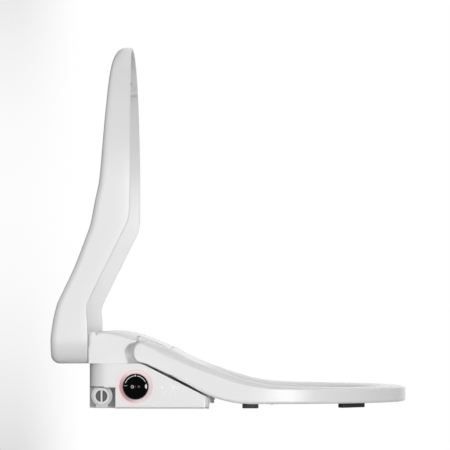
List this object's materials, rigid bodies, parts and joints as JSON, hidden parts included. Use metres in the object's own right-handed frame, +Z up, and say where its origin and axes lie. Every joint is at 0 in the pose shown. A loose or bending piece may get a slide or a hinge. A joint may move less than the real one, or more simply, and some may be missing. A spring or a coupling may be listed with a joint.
{
  "type": "electric bidet seat",
  "caption": "Heated bidet seat with a deep hinged lid, a hinged seat ring, a washing unit behind it with a side control knob, and a sliding spray nozzle.",
  "frame": {"origin": "midway between the two bowl bolts, on the plane of the bowl's rim", "axes": "+X to the front of the seat, +Y to the user's left (away from the control side), +Z up"},
  "size_m": [0.5599, 0.4012, 0.5795],
  "materials": {
    "white_plastic": "gloss moulded, white",
    "seat_plastic": "gloss moulded, white",
    "lid_plastic": "gloss moulded, white",
    "liner_plastic": "satin moulded, white",
    "grey_plastic": "fine texture, mid grey",
    "light_grey_plastic": "fine texture, light grey",
    "dark_plastic": "fine texture, dark grey",
    "rubber": "moulded, dark grey",
    "soft_bumper": "moulded, off-white",
    "steel": "brushed",
    "stainless": "polished",
    "black_gloss": "piano black",
    "knob_glass": null,
    "light_ring": "lit translucent ring",
    "lens": "translucent white",
    "circuit_board": "solder mask, green",
    "heater_foil": "thin heating foil",
    "tank_plastic": "glass-filled moulding"
  },
  "bodies": {
    "main_unit": {"base_plate": "grey_plastic", "lower_casing": "white_plastic", "top_cover": "white_plastic", "hinge_frame": "dark_plastic", "mounting_plate": "grey_plastic", "base_pads": "rubber", "casing_screws": "steel", "drain_port": "light_grey_plastic", "drain_hose": "dark_plastic", "water_inlet": "light_grey_plastic", "inlet_hose": "dark_plastic", "solenoid_valve": "light_grey_plastic", "heater_tank": "tank_plastic", "tank_hose": "dark_plastic", "water_pump": "dark_plastic", "nozzle_hose": "dark_plastic", "nozzle_housing": "light_grey_plastic", "nozzle_motor": "steel", "power_board": "circuit_board", "cord_gland": "rubber", "control_board": "circuit_board", "rotary_encoder": "steel", "knob_light_ring": "light_ring", "indicator_lenses": "lens", "seat_hinge_pins": "steel", "seat_damper": "dark_plastic", "lid_hinge_pins": "steel", "lid_damper": "dark_plastic"},
    "lid": {"lid_shell": "lid_plastic", "lid_liner": "liner_plastic", "lid_hinge_arms": "liner_plastic", "lid_bumpers": "soft_bumper", "lid_bushes": "dark_plastic"},
    "seat": {"seat_shell": "seat_plastic", "seat_base": "liner_plastic", "seat_heater": "heater_foil", "seat_bushes": "dark_plastic", "seat_bumpers_rear": "rubber", "seat_bumpers_front": "rubber", "seat_screws": "steel"},
    "knob_stem": {"knob_shaft": "steel"},
    "knob": {"control_knob": "black_gloss", "knob_face": "knob_glass"},
    "nozzle": {"nozzle_tube": "stainless", "nozzle_carriage": "light_grey_plastic", "nozzle_cover": "dark_plastic"},
    "pinion": {"drive_pinion": "light_grey_plastic"},
    "plug": {"drain_plug": "light_grey_plastic", "drain_plug_seal": "rubber"},
    "button": {"release_button": "grey_plastic"}
  },
  "joints": [
    {"name": "lid_hinge", "type": "hinge", "parent": "main_unit", "child": "lid", "pos_m": [-0.0307, 0, 0.0863], "axis": [0, 1, 0], "range_deg": [0, 90]},
    {"name": "seat_hinge", "type": "hinge", "parent": "main_unit", "child": "seat", "pos_m": [0.046, 0, 0.0895], "axis": [0, 1, 0], "range_deg": [-100, 0]},
    {"name": "knob_push", "type": "slide", "parent": "main_unit", "child": "knob_stem", "axis": [0, 1, 0], "range_m": [0, 0.0012], "stiffness_N_per_m": 2500},
    {"name": "knob_turn", "type": "hinge", "parent": "knob_stem", "child": "knob", "pos_m": [0.0308, -0.196, 0.035], "axis": [0, -1, 0], "range_deg": [-135, 135]},
    {"name": "nozzle_slide", "type": "slide", "parent": "main_unit", "child": "nozzle", "axis": [1, 0, 0], "range_m": [0, 0.07]},
    {"name": "pinion_spin", "type": "hinge", "parent": "main_unit", "child": "pinion", "pos_m": [0.042, 0, 0.0285], "axis": [0, 1, 0], "range_deg": [-510, 10]},
    {"name": "plug_turn", "type": "hinge", "parent": "main_unit", "child": "plug", "pos_m": [-0.0222, -0.18, 0.0201], "axis": [0, -1, 0], "range_deg": [0, 90]},
    {"name": "button_push", "type": "slide", "parent": "main_unit", "child": "button", "axis": [0, -1, 0], "range_m": [0, 0.004], "stiffness_N_per_m": 800}
  ],
  "couplings": [
    {"joint": "pinion_spin", "follows": "nozzle_slide", "rad_per_m": -125}
  ]
}
